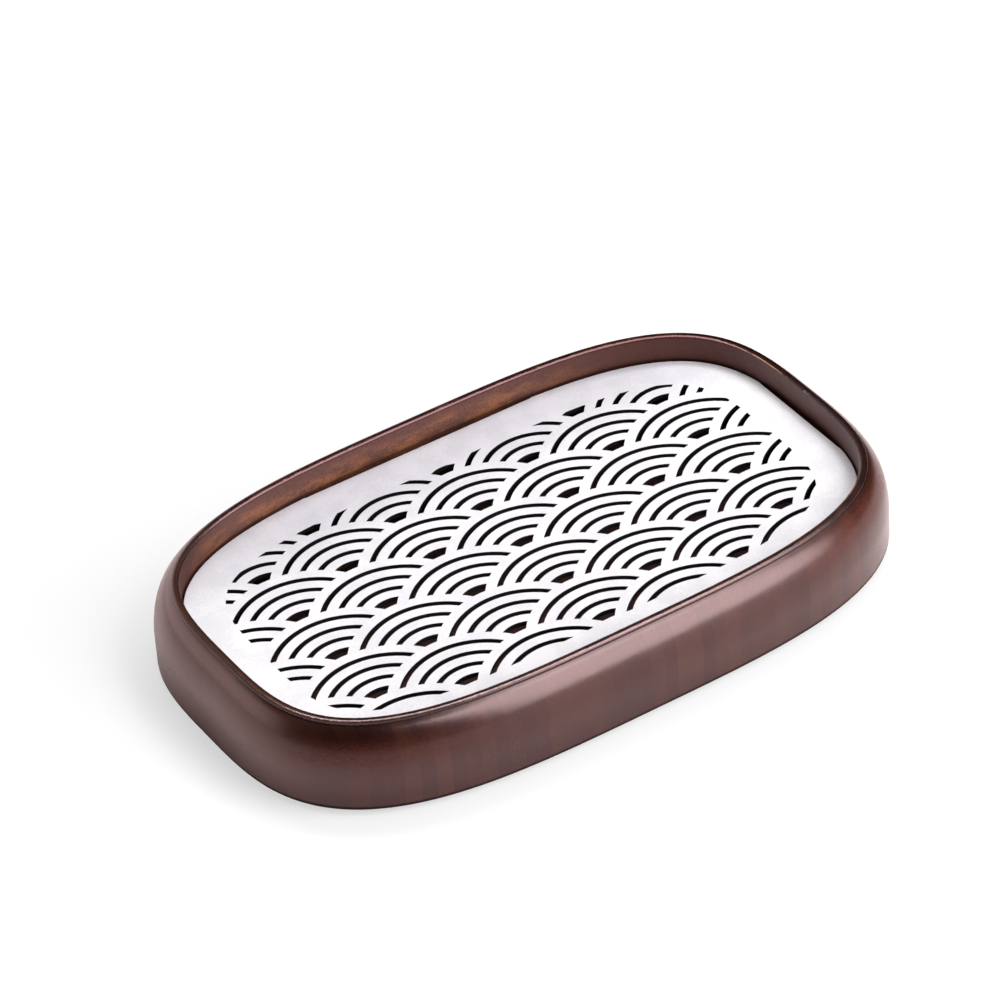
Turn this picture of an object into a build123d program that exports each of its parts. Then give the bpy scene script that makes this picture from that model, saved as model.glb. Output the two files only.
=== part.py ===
from build123d import *
import math
import os

os.makedirs("parts", exist_ok=True)

# Gongfu tea tray, millimetres: a bamboo frame round a drip reservoir, under a loose
# metal panel cut with waves. +Z is up, X runs along the tray, and the origin is on the
# table under its centre.

# Whole tray
tray_length = 270.0            # over the widest line of the frame
tray_width = 164.6             # over the same line
body_height = 34.5             # underside of the frame to the top of its lip
foot_stand = 1.5               # table to the underside of the frame
overrun = 1.0                  # how far a cutter runs past the face that it opens

# Rounded outline, the superellipse |x/a|^p + |y/b|^p = 1
outline_power = 3.47           # squareness of the opening, and of every line that follows it
outline_points = 64            # points that the spline round an outline passes through

# Bamboo frame
wall = 10.6                    # the opening's edge to the frame's widest line
rim_rise = 10.7                # top of the panel to the top of the lip
lip_width = 2.9                # narrow bead round the opening
lip_crown = 0.4                # rise of the bead's rounded top over its two edges
lip_step = 1.1                 # top of the bead down to the crest of the shoulder's curve
lip_cover = 1.6                # how far the bead reaches over that crest
lip_edge_round = 0.15          # broken edges of the bead
shoulder_drop = 20.0           # height of the rounded shoulder, down to the widest line
bottom_round = 2.5             # rounding of the frame's lower outer edge
ledge_width = 5.0              # step that the panel rests on
board_lap = 3.5                # how far the base board reaches under the ledge's edge

# Base board
board_thickness = 5.0
board_recess = 0.8             # underside of the frame up to the underside of the board
glue_gap = 0.2                 # glue line round the board's edge

# Wave panel
panel_thickness = 2.0
panel_end_gap = 0.4            # panel to frame at each end
panel_side_gap = 1.2           # panel to frame along each side
panel_edge_round = 0.35        # broken upper edge
relief_depth = 1.35            # straight reliefs in the panel's edge, to lift it by
side_relief_length = 99.0
end_relief_length = 49.0

# Wave openings
wave_margin = 15.6             # plain border round the pattern
wave_power = 4.2               # squareness of the pattern's outline
wave_pitch = 58.0              # fan to fan along a row
row_spacing = 13.0             # row to row, each row half a pitch across from the last
fan_radius = 33.25
slot_width = 2.1
slot_pitch = 5.95              # one arc slot to the next in a fan
slots_per_fan = 3
fan_centre_y = -9.1            # centre of the fan in the middle of the panel
smallest_opening = 2.25        # scraps smaller than a square of this side stay solid

# Feet
foot_radius = 6.0
foot_gap = 0.3                 # foot to the wall of its socket
foot_recess = 0.7              # depth of the socket in the base board
foot_edge_round = 0.5
foot_inset = 26.0              # foot's centre from the base board's ends and sides

# Heights
frame_bottom = foot_stand
lip_top = frame_bottom + body_height
lip_side = lip_top - lip_crown
shoulder_top = lip_top - lip_step
belly_height = shoulder_top - shoulder_drop
panel_top = lip_top - rim_rise
ledge_top = panel_top - panel_thickness
board_bottom = frame_bottom + board_recess
board_top = board_bottom + board_thickness

# Half lengths and half widths
opening_half_length = tray_length / 2 - wall
opening_half_width = tray_width / 2 - wall
panel_half_length = opening_half_length - panel_end_gap
panel_half_width = opening_half_width - panel_side_gap
wave_half_length = panel_half_length - wave_margin
wave_half_width = panel_half_width - wave_margin


def outline(half_length, half_width, power, inset=0.0):
    """Closed superellipse for the line block in use, moved inwards along its normals."""
    points = []
    for i in range(outline_points):
        turn = 2 * math.pi * i / outline_points
        across = math.cos(turn)
        along = math.sin(turn)
        lean_x = math.copysign(abs(across) ** (2 - 2 / power) / half_length, across)
        lean_y = math.copysign(abs(along) ** (2 - 2 / power) / half_width, along)
        lean = math.hypot(lean_x, lean_y)
        x = math.copysign(half_length * abs(across) ** (2 / power), across)
        y = math.copysign(half_width * abs(along) ** (2 / power), along)
        points.append((x - inset * lean_x / lean, y - inset * lean_y / lean))
    Spline(*points, periodic=True)


# Bamboo frame: one section, drawn at the +X end, carried round the opening
lip_edge = opening_half_length + lip_width
belly_edge = opening_half_length + wall
crest = lip_edge - lip_cover
crest_to_belly = belly_edge - crest
cover_turn = math.acos(lip_cover / crest_to_belly)
shoulder_edge = belly_height + shoulder_drop * math.sin(cover_turn)
ledge_edge = opening_half_length - ledge_width
rebate_edge = ledge_edge + board_lap

with BuildPart() as bamboo_frame:
    with BuildLine() as opening_line:
        outline(opening_half_length, opening_half_width, outline_power)
    with BuildSketch(Plane.XZ) as frame_section:
        with BuildLine():
            Line((lip_edge, shoulder_edge), (lip_edge, lip_side))
            ThreePointArc((lip_edge, lip_side), (opening_half_length + lip_width / 2, lip_top),
                          (opening_half_length, lip_side))
            Polyline((opening_half_length, lip_side), (opening_half_length, ledge_top),
                     (ledge_edge, ledge_top), (ledge_edge, board_top),
                     (rebate_edge, board_top), (rebate_edge, frame_bottom),
                     (belly_edge, frame_bottom), (belly_edge, belly_height))
            EllipticalCenterArc((crest, belly_height), crest_to_belly, shoulder_drop,
                                arc_size=math.degrees(cover_turn))
        make_face()
        fillet(frame_section.vertices().group_by(Axis.Y)[-1], lip_edge_round)
        fillet(frame_section.vertices().group_by(Axis.Y)[0].sort_by(Axis.X)[-1], bottom_round)
    sweep(path=opening_line.wire())
bamboo_frame.part.label = "bamboo_frame"
export_step(bamboo_frame.part, "parts/bamboo_frame.step")

# Base board, glued up into the frame's rebate, with a socket for each foot
board_inset = ledge_width - board_lap + glue_gap
foot_x = opening_half_length - board_inset - foot_inset
foot_y = opening_half_width - board_inset - foot_inset
foot_places = {
    "foot_front_left": (-foot_x, -foot_y),
    "foot_front_right": (foot_x, -foot_y),
    "foot_back_left": (-foot_x, foot_y),
    "foot_back_right": (foot_x, foot_y),
}

with BuildPart() as base_board:
    with BuildSketch(Plane.XY.offset(board_bottom)):
        with BuildLine():
            outline(opening_half_length, opening_half_width, outline_power, board_inset)
        make_face()
    extrude(amount=board_thickness)
    with BuildSketch(Plane.XY.offset(board_bottom - overrun)):
        with Locations(*foot_places.values()):
            Circle(foot_radius + foot_gap)
    extrude(amount=overrun + foot_recess, mode=Mode.SUBTRACT)
base_board.part.label = "base_board"
export_step(base_board.part, "parts/base_board.step")

# Feet, soft round pads pressed up into the board's sockets
for name, place in foot_places.items():
    with BuildPart() as foot:
        with BuildSketch():
            with Locations(place):
                Circle(foot_radius)
        extrude(amount=board_bottom + foot_recess)
        fillet(foot.edges().group_by(Axis.Z)[0], foot_edge_round)
    foot.part.label = name
    export_step(foot.part, f"parts/{name}.step")

# One fan of waves: arc slots round a core, cut short by the three fans below it
land = slot_pitch - slot_width
with BuildSketch() as fan:
    for i in range(slots_per_fan):
        slot_radius = fan_radius - land - slot_pitch * i
        Circle(slot_radius)
        Circle(slot_radius - slot_width, mode=Mode.SUBTRACT)
    Circle(fan_radius - land - slot_pitch * slots_per_fan)
    with Locations((-wave_pitch / 2, -row_spacing), (wave_pitch / 2, -row_spacing),
                   (0, -2 * row_spacing)):
        Circle(fan_radius, mode=Mode.SUBTRACT)

# All the fans, kept within the panel's plain border
fan_columns = math.ceil((wave_half_length + fan_radius) / (wave_pitch / 2))
fan_rows = math.ceil((wave_half_width + fan_radius) / row_spacing)
fan_places = [
    (wave_pitch / 2 * column, fan_centre_y + row_spacing * row)
    for row in range(-fan_rows, fan_rows + 1)
    for column in range(-fan_columns, fan_columns + 1)
    if (row + column) % 2 == 0
]
with BuildSketch(Plane.XY.offset(ledge_top)) as waves:
    with Locations(*fan_places):
        add(fan.sketch)
    with BuildLine():
        outline(wave_half_length, wave_half_width, wave_power)
    make_face(mode=Mode.INTERSECT)
openings = waves.sketch.faces().filter_by(lambda face: face.area > smallest_opening ** 2)

# Wave panel, a loose plate that rests on the frame's ledge
with BuildPart() as wave_panel:
    with BuildSketch(Plane.XY.offset(ledge_top)):
        with BuildLine():
            outline(panel_half_length, panel_half_width, outline_power)
        make_face()
    extrude(amount=panel_thickness)
    fillet(wave_panel.edges().group_by(Axis.Z)[-1], panel_edge_round)
    with BuildSketch(Plane.XY.offset(ledge_top)):
        with Locations((0, panel_half_width), (0, -panel_half_width)):
            Rectangle(side_relief_length, 2 * relief_depth)
        with Locations((panel_half_length, 0), (-panel_half_length, 0)):
            Rectangle(2 * relief_depth, end_relief_length)
    extrude(amount=panel_thickness + overrun, mode=Mode.SUBTRACT)
    extrude(openings, amount=panel_thickness + overrun, mode=Mode.SUBTRACT)
wave_panel.part.label = "wave_panel"
export_step(wave_panel.part, "parts/wave_panel.step")
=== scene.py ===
import math

import bmesh
import bpy
from mathutils import Matrix, Vector


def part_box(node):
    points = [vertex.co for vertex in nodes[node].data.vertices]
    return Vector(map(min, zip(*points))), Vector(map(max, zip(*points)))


# Gongfu tea tray: dark lacquered bamboo round a matt silver panel cut with waves.
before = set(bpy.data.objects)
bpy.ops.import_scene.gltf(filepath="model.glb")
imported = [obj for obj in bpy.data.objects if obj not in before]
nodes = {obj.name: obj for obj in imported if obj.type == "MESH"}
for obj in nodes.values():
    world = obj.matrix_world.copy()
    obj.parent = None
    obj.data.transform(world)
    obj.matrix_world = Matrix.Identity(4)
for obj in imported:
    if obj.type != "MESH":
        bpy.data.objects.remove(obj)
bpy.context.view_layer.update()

MM = 0.001

# Camera
aim = Vector((0.0232, 0.0525, 0.0))          # point on the table in the middle of the picture
camera_distance = 1.901
camera_turn = math.radians(-31.38)           # counted to the left from looking along +Y
camera_tilt = math.radians(38.33)            # looking down
camera_roll = math.radians(-3.65)
camera_lens = 184.4                          # millimetres, like the sensor
camera_sensor = 36.0
camera_reach = 50.0                          # how far away things are still shown

# Studio
floor_size = 12.0
floor_light = (0.60, 0.60, 0.605)            # the floor's colour in the light that it throws back
floor_mirrored = (0.80, 0.67, 0.66)          # and as the tray mirrors it
floor_seen = (0.90, 0.90, 0.905)             # and in the picture, where it also glows
floor_glow = 0.6
floor_roughness = 0.9
lamp_distance = 1.6
room_turn = math.radians(118)                # the bright side of the room, counted from +X
room_side = (0.5, 0.82)                      # cosine from its middle, where it is dark and bright
room_top = (0.75, 0.55)                      # sine of the height, where it is dark and bright
room_light = (1.44, 1.28, 1.28)
room_shade = (0.02, 0.02, 0.02)

# The frame's rim, in millimetres like every place and width below
wall = 10.6                                  # the opening's edge to the frame's widest line
outline_power = 3.47                         # squareness of the opening's outline
lip_width = 2.9
lip_crown = 0.4                              # height of the lip's rounded crown
rim_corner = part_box("bamboo_frame")[1] / MM
opening_half_length = rim_corner.x - wall
opening_half_width = rim_corner.y - wall
lip_side = rim_corner.z - lip_crown          # top of the lip's straight sides
panel_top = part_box("wave_panel")[1].z / MM

# A pair below is where a change begins and where it is complete, unless it says otherwise.
# Lengths count along X from the tray's middle, along Y, in height, or out from the opening's
# edge. A grain is the frequency of a noise along X, Y and Z, per millimetre, and a share is
# how strong a mask is where it is full.

# Bamboo strips and grain
strip_width = 5.4
strip_waver = 0.35                           # how far a joint wanders, in strips
strip_joint = (0.47, 0.497)                  # from the middle of a strip, in strips
waver_grain = (0.02, 0.01, 0.05)
fibre_grain = (1.7, 0.045, 1.7)
fleck_grain = (2.6, 0.7, 2.6)
patch_grain = (0.05, 0.018, 0.045)
glue_grain = (0.11, 0.05, 0.09)
fibre_noise = (0.42, 0.72)
fleck_noise = (0.56, 0.72)
patch_noise = (0.38, 0.66)
glue_noise = (0.52, 0.6)
strip_warmth = 0.55                          # how far each one takes the wood to the rust brown
fibre_warmth = 0.26
fleck_warmth = 0.55
patch_warmth = 0.32
cold_start = 0.32                            # taken off their sum
deep_brown = (0.012, 0.0018, 0.0010)
rust_brown = (0.056, 0.018, 0.0065)
glue_dark = (0.008, 0.0025, 0.0020)
glue_pale = (0.070, 0.026, 0.011)
glue_share = 0.35
patch_roughness = 0.10
fibre_roughness = 0.06
joint_depth = 0.5                            # of a joint's groove, where a fibre's height is 1

# Lacquer and the stained wood under it, with the depth of its relief in metres
wood_ior = 1.56
wood_tint = (1.0, 0.40, 0.42, 1.0)           # of the light that the stained wood mirrors
lacquer_ior = 1.5
relief_strength = 0.5
frame_roughness = 0.21
frame_lacquer_roughness = 0.25
frame_relief = 0.02 * MM
board_roughness = 0.40
board_lacquer_roughness = 0.45
board_relief = 0.03 * MM
board_reflection = 0.15

# Rubbed band round the frame's corners
corner_span = (0.38, 0.8)                    # of the opening's half length and half width
rubbed_climb_x = (30.0, 110.0)
rubbed_middle = (26.0, 30.0)                 # the band's height before and after the climb
rubbed_reach = (7.0, 2.0)                    # above and below its middle
rubbed_grain = (1.3, 1.3, 1.3)
rubbed_noise = (0.28, 0.68)
rubbed_turn_x = (-60.0, 60.0)                # from the left colour to the right one
rubbed_left = (0.054, 0.011, 0.0025)
rubbed_right = (0.068, 0.0145, 0.0035)
rubbed_share = 0.85

# Paler left end of the frame, and painted contact shade along its lower edge
end_x = (-85.0, -125.0)
end_y = (-62.0, -35.0)
end_brown = (0.060, 0.021, 0.011)
end_share = 0.6
sole_height = (4.6, 3.5)
sole_painted_shade = (0.006, 0.003, 0.003)

# Inner wall of the frame, thinly stained, with painted shade at its right end and at its foot
wall_out = (0.35, 0.15)
wall_height = (lip_side, lip_side - 0.3)
wall_right_x = (30.0, 95.0)
wall_left_x = (-80.0, -115.0)
wall_brown = (0.118, 0.055, 0.041)
wall_right_painted_shade = (0.062, 0.027, 0.020)
wall_left = (0.040, 0.015, 0.011)
ochre_height = (panel_top + 9.5, panel_top + 4.0)
ochre_grain = (0.07, 0.06, 0.19)
ochre_noise = (0.42, 0.64)
ochre_brown = (0.26, 0.105, 0.050)
streak_grain = (1.5, 0.06, 1.5)
streak_noise = (0.35, 0.75)
streak_share = 0.5
wall_foot_height = (panel_top + 0.6, panel_top)
wall_foot_painted_shade = (0.004, 0.001, 0.001)
wall_foot_share = 0.6

# Painted shade along the lip's inner edge and in the crease between it and the shoulder
arris_out = (0.45, 0.2)
arris_height = (lip_side - 0.7, lip_side - 0.4)
arris_painted_shade = (0.004, 0.002, 0.002)
arris_share = 0.8
crease_middle = lip_width + 0.1
crease_reach = (0.35, 0.1)
crease_height = (lip_side - 0.1, lip_side - 0.3)
crease_painted_shade = (0.004, 0.002, 0.0025)
crease_share = 0.9

# Worn spots on the lip's inner edge, at the right end
worn_middle = 0.2
worn_reach = (0.25, 0.1)
worn_height = (lip_side - 0.1, lip_side + 0.1)
worn_x = (80.0, 100.0)
worn_grain = (0.028, 0.028, 0.028)
worn_noise = (0.56, 0.62)
worn_pale = (0.40, 0.20, 0.08)

# Lip smoothed by hands, with its lacquer thin along the far side
handled_outer = (lip_width + 0.1, lip_width - 0.1)
handled_inner = (-0.1, 0.1)
dulled_y = (-20.0, 40.0)
dulled_share = 0.8
dulled_x = (-125.0, -70.0)
dulled_left = 0.2                            # how much of the dulling stays at the left end

# Lacquer that is gone where a mask is full, and how rough the wood is there
wall_gone = 0.93
rubbed_gone = 0.75
end_gone = 0.12
sole_gone = 0.9
rubbed_flat = 0.3
wall_flat_x = (-75.0, -115.0)
wall_flat = (0.2, 0.9)                       # of the wall before and after that stretch
flat_roughness = 0.7
handled_roughness = -0.12

# Painted light on the reservoir's floor, which the nearer slots show paler, more on the left
painted_light_y = (50.0, -40.0)
painted_light_turn_x = (-30.0, 50.0)                # from the left colour to the right one
painted_light_left = (0.24, 0.125, 0.115)
painted_light_right = (0.13, 0.068, 0.064)
painted_light_share = 0.45
painted_light_lacquer = 0.15

# Panel
mottle_grain = (0.09, 0.09, 0.09)
mottle_share = 0.65                          # of the metal's cloudiness, with frost for the rest
frost_grain = (0.9, 0.9, 0.9)
frost_share = 0.35
metal_noise = (0.4, 0.6)
metal_low = (0.69, 0.68, 0.71)
metal_high = (0.765, 0.755, 0.778)
metal_far_y = (25.0, 66.0)
metal_far_painted_shade = (0.78, 0.765, 0.79)              # painted shade: times the face's colour, toward the far side
metal_end_x = (70.0, 118.0)
metal_end_painted_light = (1.09, 1.09, 1.09)               # painted light: times the face's colour, toward both ends
cut_upward = (0.55, 0.25)                    # how much a wall faces up or down
cut_grey = (0.16, 0.15, 0.155)
panel_metallic = (0.1, 1.0)                  # of the faces and of the cut walls
panel_roughness = (0.7, 0.35)                # of the faces and of the cut walls

# Feet
dust_grain = (0.5, 0.5, 0.5)
dust_noise = (0.4, 0.7)
rubber_dark = (0.018, 0.018, 0.019)
rubber_dusty = (0.04, 0.038, 0.037)
rubber_roughness = 0.75


class Shader:
    """A material, world or node group being put together: makes nodes and links them."""

    def __init__(self, tree):
        self.tree = tree

    def node(self, kind, **settings):
        made = self.tree.nodes.new(kind)
        for name, value in settings.items():
            setattr(made, name, value)
        return made

    def put(self, socket, value):
        """A socket's value: a number, a colour, or the output of another node."""
        if isinstance(value, bpy.types.NodeSocket):
            self.tree.links.new(value, socket)
        elif socket.type == "RGBA" and len(value) == 3:
            socket.default_value = (*value, 1.0)
        else:
            socket.default_value = value

    def compute(self, operation, *values):
        """The result of one arithmetic node."""
        made = self.node("ShaderNodeMath", operation=operation)
        for socket, value in zip(made.inputs, values):
            self.put(socket, value)
        return made.outputs[0]

    def product(self, first, *others):
        for other in others:
            first = self.compute("MULTIPLY", first, other)
        return first

    def greatest(self, first, *others):
        for other in others:
            first = self.compute("MAXIMUM", first, other)
        return first

    def mix(self, share, a, b, blend="MIX"):
        """Two colours mixed. Their sockets go by number, because three kinds share the names."""
        made = self.node("ShaderNodeMix", data_type="RGBA", blend_type=blend)
        self.put(made.inputs["Factor"], share)
        self.put(made.inputs[6], a)
        self.put(made.inputs[7], b)
        return made.outputs[2]

    def ramp(self, value, low, high, low_to=0.0, high_to=1.0):
        """A smooth change from low_to to high_to while the value goes from low to high."""
        made = self.node("ShaderNodeMapRange", interpolation_type="SMOOTHSTEP")
        for name, item in (("Value", value), ("From Min", low), ("From Max", high),
                           ("To Min", low_to), ("To Max", high_to)):
            self.put(made.inputs[name], item)
        return made.outputs["Result"]

    def near(self, value, middle, outer, inner):
        """A mask: full within inner of the middle, and nothing beyond outer."""
        apart = self.compute("ABSOLUTE", self.compute("SUBTRACT", value, middle))
        return self.ramp(apart, outer, inner)

    def scaled(self, vector, scale):
        made = self.node("ShaderNodeMapping")
        self.put(made.inputs["Vector"], vector)
        made.inputs["Scale"].default_value = scale
        return made.outputs["Vector"]

    def axes(self, vector):
        """A vector's three numbers."""
        made = self.node("ShaderNodeSeparateXYZ")
        self.put(made.inputs[0], vector)
        return tuple(made.outputs)

    def noise(self, vector, grain, detail=2.0, roughness=0.5):
        """Noise round 0.5 whose frequency is set for each axis by the grain."""
        made = self.node("ShaderNodeTexNoise")
        self.put(made.inputs["Vector"], self.scaled(vector, grain))
        made.inputs["Scale"].default_value = 1.0
        made.inputs["Detail"].default_value = detail
        made.inputs["Roughness"].default_value = roughness
        return made.outputs["Fac"]

    def place(self):
        """Where on the tray a point is, in millimetres."""
        return self.scaled(self.node("ShaderNodeTexCoord").outputs["Object"], (1 / MM, 1 / MM, 1 / MM))

    def group(self, group, place):
        """The outputs of a node group that is given a place."""
        made = self.node("ShaderNodeGroup", node_tree=group)
        self.put(made.inputs["Place"], place)
        return made.outputs


def new_material(name):
    material = bpy.data.materials.new(name)
    material.use_nodes = True
    material.node_tree.nodes.clear()
    shader = Shader(material.node_tree)
    surface = shader.node("ShaderNodeBsdfPrincipled")
    output = shader.node("ShaderNodeOutputMaterial")
    shader.put(output.inputs["Surface"], surface.outputs["BSDF"])
    return material, shader, surface.inputs


def new_group(name, results):
    """A node group that is given a place: its tree, shader, place, and sockets for the results."""
    group = bpy.data.node_groups.new(name, "ShaderNodeTree")
    group.interface.new_socket("Place", in_out="INPUT", socket_type="NodeSocketVector")
    for result, kind in results.items():
        group.interface.new_socket(result, in_out="OUTPUT", socket_type=kind)
    shader = Shader(group)
    place = shader.node("NodeGroupInput").outputs["Place"]
    return group, shader, place, shader.node("NodeGroupOutput").inputs


def rim_distance():
    """Node group: how far a place lies outside the edge of the frame's opening."""
    group, shader, place, results = new_group("rim_distance", {"Out": "NodeSocketFloat"})
    x, y = shader.axes(place)[:2]
    total, slopes = 0.0, []
    for along, half in ((x, opening_half_length), (y, opening_half_width)):
        share = shader.compute("DIVIDE", shader.compute("ABSOLUTE", along), half)
        slope = shader.compute("DIVIDE", shader.compute("POWER", share, outline_power - 1), half)
        total = shader.compute("ADD", shader.compute("POWER", share, outline_power), total)
        slopes.append(shader.product(slope, slope))
    slope = shader.compute("SQRT", shader.compute("ADD", *slopes))
    reach = shader.compute("POWER", total, 1 / outline_power)
    slope = shader.compute("DIVIDE", shader.product(slope, reach), total)
    shader.put(results["Out"], shader.compute("DIVIDE", shader.compute("SUBTRACT", reach, 1.0), slope))
    return group


def bamboo_grain():
    """Node group: laminated bamboo, its strips side by side along X and its fibres along Y."""
    group, shader, place, results = new_group("bamboo_grain", {
        "Color": "NodeSocketColor", "Roughness": "NodeSocketFloat", "Height": "NodeSocketFloat"})
    x = shader.axes(place)[0]
    waver = shader.noise(place, waver_grain, detail=1.0)
    across = shader.compute("ADD", shader.compute("DIVIDE", x, strip_width),
                            shader.product(waver, strip_waver))
    strip = shader.node("ShaderNodeTexWhiteNoise", noise_dimensions="1D")
    shader.put(strip.inputs["W"], shader.compute("FLOOR", across))
    joint = shader.near(shader.compute("FRACT", across), 0.5, *strip_joint)
    fibre = shader.noise(place, fibre_grain, detail=4.0, roughness=0.65)
    fleck = shader.noise(place, fleck_grain, roughness=0.55)
    patch = shader.noise(place, patch_grain, detail=3.0, roughness=0.6)
    warm = shader.product(strip.outputs["Value"], strip_warmth)
    for noise, span, warmth in ((patch, patch_noise, patch_warmth), (fibre, fibre_noise, fibre_warmth),
                                (fleck, fleck_noise, fleck_warmth)):
        warm = shader.compute("MULTIPLY_ADD", shader.ramp(noise, *span), warmth, warm)
    warm = shader.compute("MINIMUM", shader.compute("SUBTRACT", warm, cold_start), 1.0)
    tone = shader.mix(shader.greatest(warm, 0.0), deep_brown, rust_brown)
    glued = shader.ramp(shader.noise(place, glue_grain, detail=1.0), *glue_noise)
    glue = shader.mix(glued, glue_dark, glue_pale)
    shader.put(results["Color"], shader.mix(shader.product(joint, glue_share), tone, glue))
    shader.put(results["Roughness"], shader.compute("MULTIPLY_ADD", patch, patch_roughness,
                                                    shader.product(fibre, fibre_roughness)))
    groove = shader.product(joint, joint_depth)
    shader.put(results["Height"], shader.compute("SUBTRACT", fibre, groove))
    return group


def lacquered(name, grain, relief):
    """Bamboo under lacquer: its material, shader, surface, place, grain colour and roughness."""
    material, shader, surface = new_material(name)
    place = shader.place()
    wood = shader.group(grain, place)
    bump = shader.node("ShaderNodeBump")
    bump.inputs["Strength"].default_value = relief_strength
    bump.inputs["Distance"].default_value = relief
    shader.put(bump.inputs["Height"], wood["Height"])
    shader.put(surface["Normal"], bump.outputs["Normal"])
    surface["IOR"].default_value = wood_ior
    surface["Specular Tint"].default_value = wood_tint
    surface["Coat IOR"].default_value = lacquer_ior
    return material, shader, surface, place, wood["Color"], wood["Roughness"]


def rubbed_band(shader, place):
    """Mask of the speckled band where hands have rubbed the frame's corners."""
    x, y, height = shader.axes(place)
    middle = shader.ramp(x, *rubbed_climb_x, *rubbed_middle)
    band = shader.near(height, middle, *rubbed_reach)
    for along, half in ((x, opening_half_length), (y, opening_half_width)):
        begins, full = (share * half for share in corner_span)
        band = shader.product(band, shader.ramp(shader.compute("ABSOLUTE", along), begins, full))
    speck = shader.noise(place, rubbed_grain, roughness=0.6)
    return shader.product(band, shader.ramp(speck, *rubbed_noise))


def inner_wall(shader, place, tone):
    """Colour of the wall inside the lip: ochre low down, darker at the left end, with painted shade at
    the right end and at its foot.
    """
    x, _, height = shader.axes(place)
    patch = shader.noise(place, ochre_grain, detail=4.0, roughness=0.65)
    ochre = shader.product(shader.ramp(patch, *ochre_noise), shader.ramp(height, *ochre_height))
    bare = shader.mix(ochre, wall_brown, ochre_brown)
    # Painted shade at the right end; darker at the left end too
    bare = shader.mix(shader.ramp(x, *wall_right_x), bare, wall_right_painted_shade)
    bare = shader.mix(shader.ramp(x, *wall_left_x), bare, wall_left)
    # Painted shade at the wall's foot, next to the panel
    foot = shader.ramp(height, *wall_foot_height)
    bare = shader.mix(shader.product(foot, wall_foot_share), bare, wall_foot_painted_shade)
    streak = shader.ramp(shader.noise(place, streak_grain), *streak_noise, 0.0, streak_share)
    return shader.mix(streak, bare, tone)


def lip_marks(shader, place, out, tone):
    """Colour of the lip: the given tone with painted shade at the arris and in the crease, and worn
    spots.
    """
    x, _, height = shader.axes(place)
    # Painted shade along the lip's inner edge
    arris = shader.product(shader.ramp(out, *arris_out), shader.ramp(height, *arris_height))
    tone = shader.mix(shader.product(arris, arris_share), tone, arris_painted_shade)
    # Painted shade in the crease
    crease = shader.near(out, crease_middle, *crease_reach)
    crease = shader.product(crease, shader.ramp(height, *crease_height))
    tone = shader.mix(shader.product(crease, crease_share), tone, crease_painted_shade)
    spots = shader.ramp(shader.noise(place, worn_grain, detail=4.0, roughness=0.7), *worn_noise)
    worn = shader.product(shader.near(out, worn_middle, *worn_reach), spots,
                          shader.ramp(height, *worn_height), shader.ramp(x, *worn_x))
    return shader.mix(worn, tone, worn_pale)


def frame_bamboo(grain):
    """The frame's bamboo: rubbed round its corners, thinly stained inside, worn on its lip, with
    painted shade at the lip, at the inner wall's right end and foot, and along the lower edge.
    """
    material, shader, surface, place, tone, roughness = lacquered("dark_bamboo", grain, frame_relief)
    x, y, height = shader.axes(place)
    out = shader.group(rim_distance(), place)["Out"]
    rubbed = rubbed_band(shader, place)
    left_end = shader.product(shader.ramp(x, *end_x), shader.ramp(y, *end_y))
    # Lower edge, where contact shade is painted, the lacquer is gone and the wood is flat
    shaded_sole = shader.ramp(height, *sole_height)
    inside = shader.product(shader.ramp(out, *wall_out), shader.ramp(height, *wall_height))
    handled = shader.product(shader.ramp(out, *handled_outer), shader.ramp(out, *handled_inner))
    dulled = shader.product(handled, shader.ramp(y, *dulled_y, 0.0, dulled_share),
                            shader.ramp(x, *dulled_x, dulled_left, 1.0))

    # Colour
    rust = shader.mix(shader.ramp(x, *rubbed_turn_x), rubbed_left, rubbed_right)
    tone = shader.mix(shader.product(rubbed, rubbed_share), tone, rust)
    tone = shader.mix(shader.product(left_end, end_share), tone, end_brown)
    # Painted contact shade along the lower edge
    tone = shader.mix(shaded_sole, tone, sole_painted_shade)
    tone = shader.mix(inside, tone, inner_wall(shader, place, tone))
    shader.put(surface["Base Color"], lip_marks(shader, place, out, tone))

    # Lacquer
    gone = shader.greatest(
        shader.product(inside, wall_gone), shader.product(rubbed, rubbed_gone),
        shader.product(left_end, end_gone), shader.product(shaded_sole, sole_gone), dulled)
    shader.put(surface["Coat Weight"], shader.compute("SUBTRACT", 1.0, gone))
    surface["Coat Roughness"].default_value = frame_lacquer_roughness

    # Roughness of the wood
    wall = shader.product(inside, shader.ramp(x, *wall_flat_x, *wall_flat))
    flat = shader.greatest(shader.product(rubbed, rubbed_flat), shaded_sole, wall)
    roughness = shader.compute("ADD", roughness, frame_roughness)
    roughness = shader.compute("MULTIPLY_ADD", handled, handled_roughness, roughness)
    roughness = shader.compute("MULTIPLY_ADD", flat, flat_roughness, roughness)
    shader.put(surface["Roughness"], roughness)
    return material


def board_bamboo(grain):
    """The reservoir's floor: more thinly stained and with a flatter lacquer than the frame has, and
    painted light where the nearer slots show it.
    """
    material, shader, surface, place, tone, roughness = lacquered("bamboo_board", grain, board_relief)
    x, y = shader.axes(place)[:2]
    # Painted light on the floor where the nearer slots show it, more on the left
    painted_light_mask = shader.ramp(y, *painted_light_y)
    painted_light_colour = shader.mix(shader.ramp(x, *painted_light_turn_x), painted_light_left, painted_light_right)
    shader.put(surface["Base Color"], shader.mix(shader.product(painted_light_mask, painted_light_share), tone, painted_light_colour))
    shader.put(surface["Roughness"], shader.compute("ADD", roughness, board_roughness))
    shader.put(surface["Coat Weight"], shader.product(painted_light_mask, painted_light_lacquer))
    surface["Coat Roughness"].default_value = board_lacquer_roughness
    surface["Specular IOR Level"].default_value = board_reflection
    return material


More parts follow.
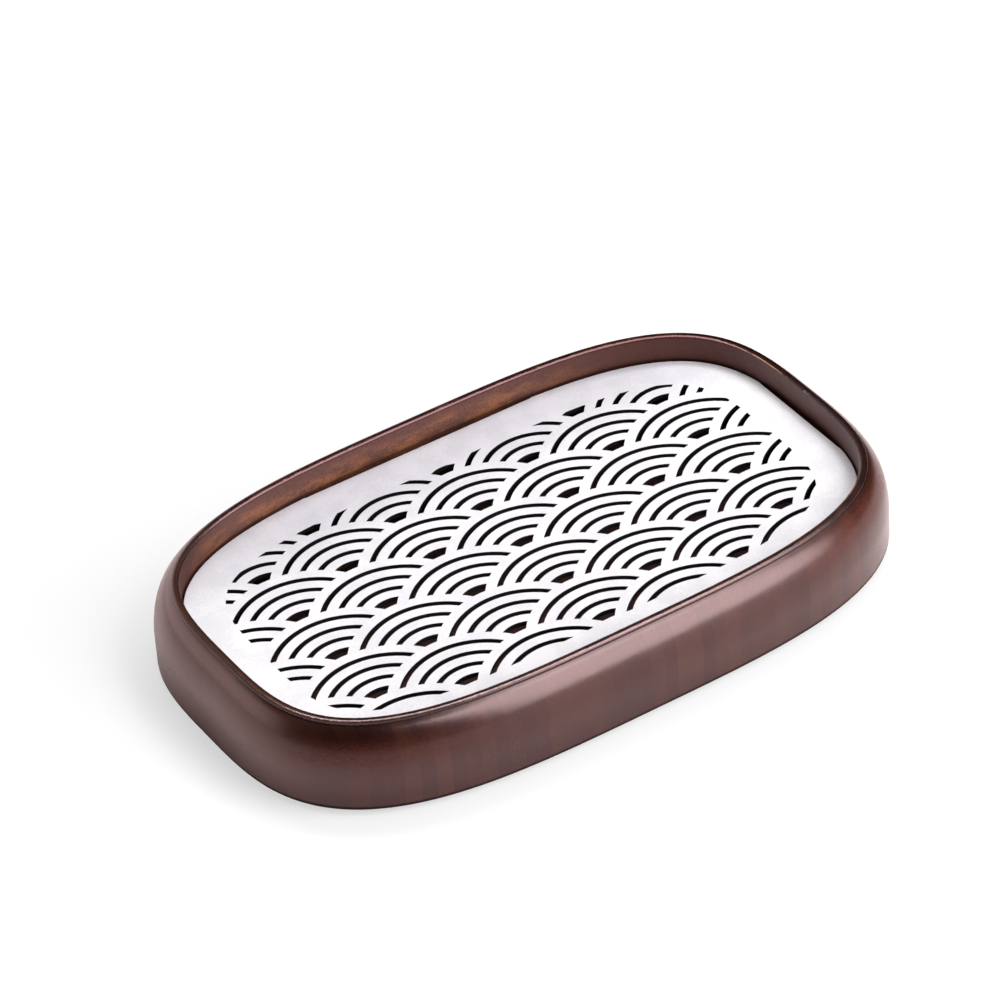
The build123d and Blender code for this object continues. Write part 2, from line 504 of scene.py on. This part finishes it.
def panel_metal():
    """Matt silver faces with painted shade toward the far side and painted light toward both ends, and
    darker cut walls.
    """
    material, shader, surface = new_material("panel_alloy")
    place = shader.place()
    x, y = shader.axes(place)[:2]
    mottle = shader.product(shader.noise(place, mottle_grain, detail=4.0), mottle_share)
    frost = shader.noise(place, frost_grain, detail=3.0)
    cloud = shader.compute("MULTIPLY_ADD", frost, frost_share, mottle)
    face = shader.mix(shader.ramp(cloud, *metal_noise), metal_low, metal_high)
    # Painted shade toward the far side
    face = shader.mix(shader.ramp(y, *metal_far_y), face, metal_far_painted_shade, blend="MULTIPLY")
    # Painted light toward both ends
    ends = shader.ramp(shader.compute("ABSOLUTE", x), *metal_end_x)
    face = shader.mix(ends, face, metal_end_painted_light, blend="MULTIPLY")
    upward = shader.axes(shader.node("ShaderNodeTexCoord").outputs["Normal"])[2]
    cut = shader.ramp(shader.compute("ABSOLUTE", upward), *cut_upward)
    shader.put(surface["Base Color"], shader.mix(cut, face, cut_grey))
    shader.put(surface["Metallic"], shader.ramp(cut, 0.0, 1.0, *panel_metallic))
    shader.put(surface["Roughness"], shader.ramp(cut, 0.0, 1.0, *panel_roughness))
    return material


def rubber():
    """Black rubber with a little dust."""
    material, shader, surface = new_material("foot_rubber")
    dust = shader.ramp(shader.noise(shader.place(), dust_grain, detail=3.0), *dust_noise)
    shader.put(surface["Base Color"], shader.mix(dust, rubber_dark, rubber_dusty))
    surface["Roughness"].default_value = rubber_roughness
    return material


def dress(node, material):
    mesh = nodes[node].data
    mesh.materials.clear()
    mesh.materials.append(material)


grain = bamboo_grain()
dress("bamboo_frame", frame_bamboo(grain))
dress("base_board", board_bamboo(grain))
dress("wave_panel", panel_metal())
foot_material = rubber()
for foot in ("foot_front_left", "foot_front_right", "foot_back_left", "foot_back_right"):
    dress(foot, foot_material)


def floor():
    """White floor, which the picture shows brighter than the lacquer mirrors it."""
    mesh = bpy.data.meshes.new("floor")
    shape = bmesh.new()
    bmesh.ops.create_grid(shape, x_segments=1, y_segments=1, size=floor_size / 2)
    shape.to_mesh(mesh)
    shape.free()
    piece = bpy.data.objects.new("floor", mesh)
    bpy.context.collection.objects.link(piece)
    material, shader, surface = new_material("floor")
    surface["Roughness"].default_value = floor_roughness
    ray = shader.node("ShaderNodeLightPath").outputs
    paper = shader.mix(ray["Is Glossy Ray"], floor_light, floor_mirrored)
    shader.put(surface["Base Color"], shader.mix(ray["Is Camera Ray"], paper, floor_seen))
    white = shader.node("ShaderNodeEmission")
    blend = shader.node("ShaderNodeMixShader")
    shader.put(blend.inputs["Fac"], shader.product(ray["Is Camera Ray"], floor_glow))
    shader.put(blend.inputs[1], shader.tree.nodes["Principled BSDF"].outputs["BSDF"])
    shader.put(blend.inputs[2], white.outputs["Emission"])
    shader.put(shader.tree.nodes["Material Output"].inputs["Surface"], blend.outputs["Shader"])
    mesh.materials.append(material)


def lamp(name, azimuth, elevation, width, height, radiance):
    """A softbox that looks at the tray from azimuth, counted from +X, and elevation."""
    data = bpy.data.lights.new(name, "AREA")
    data.shape = "RECTANGLE"
    data.size = width
    data.size_y = height
    data.energy = radiance * math.pi * width * height
    piece = bpy.data.objects.new(name, data)
    bpy.context.collection.objects.link(piece)
    turn, rise = math.radians(azimuth), math.radians(elevation)
    away = Vector((math.cos(turn) * math.cos(rise), math.sin(turn) * math.cos(rise), math.sin(rise)))
    piece.location = away * lamp_distance
    piece.rotation_euler = away.to_track_quat("Z", "Y").to_euler()
    piece.visible_camera = False


def studio():
    """A dark room with one bright side, whose light fades out overhead."""
    world = bpy.data.worlds.new("studio")
    bpy.context.scene.world = world
    world.use_nodes = True
    world.node_tree.nodes.clear()
    shader = Shader(world.node_tree)
    x, y, upward = shader.axes(shader.node("ShaderNodeTexCoord").outputs["Generated"])
    facing = shader.compute("MULTIPLY_ADD", x, math.cos(room_turn),
                            shader.product(y, math.sin(room_turn)))
    light = shader.product(shader.ramp(facing, *room_side), shader.ramp(upward, *room_top))
    sky = shader.node("ShaderNodeBackground")
    shader.put(sky.inputs["Color"], shader.mix(light, room_shade, room_light))
    output = shader.node("ShaderNodeOutputWorld")
    shader.put(output.inputs["Surface"], sky.outputs[0])


def camera():
    data = bpy.data.cameras.new("camera")
    data.lens = camera_lens
    data.sensor_width = camera_sensor
    data.clip_end = camera_reach
    piece = bpy.data.objects.new("camera", data)
    bpy.context.collection.objects.link(piece)
    turned = (Matrix.Rotation(camera_turn, 4, "Z") @ Matrix.Rotation(math.pi / 2 - camera_tilt, 4, "X")
              @ Matrix.Rotation(camera_roll, 4, "Z"))
    piece.matrix_world = Matrix.Translation(aim) @ turned @ Matrix.Translation((0, 0, camera_distance))
    bpy.context.scene.camera = piece


floor()
studio()
lamp("key_softbox", azimuth=-60, elevation=33, width=1.15, height=1.7, radiance=5.8)
lamp("top_softbox", azimuth=-24, elevation=64, width=1.0, height=0.45, radiance=5.4)
lamp("back_softbox", azimuth=56, elevation=66, width=1.1, height=0.34, radiance=10.0)
camera()
bpy.context.scene.view_settings.view_transform = "Standard"
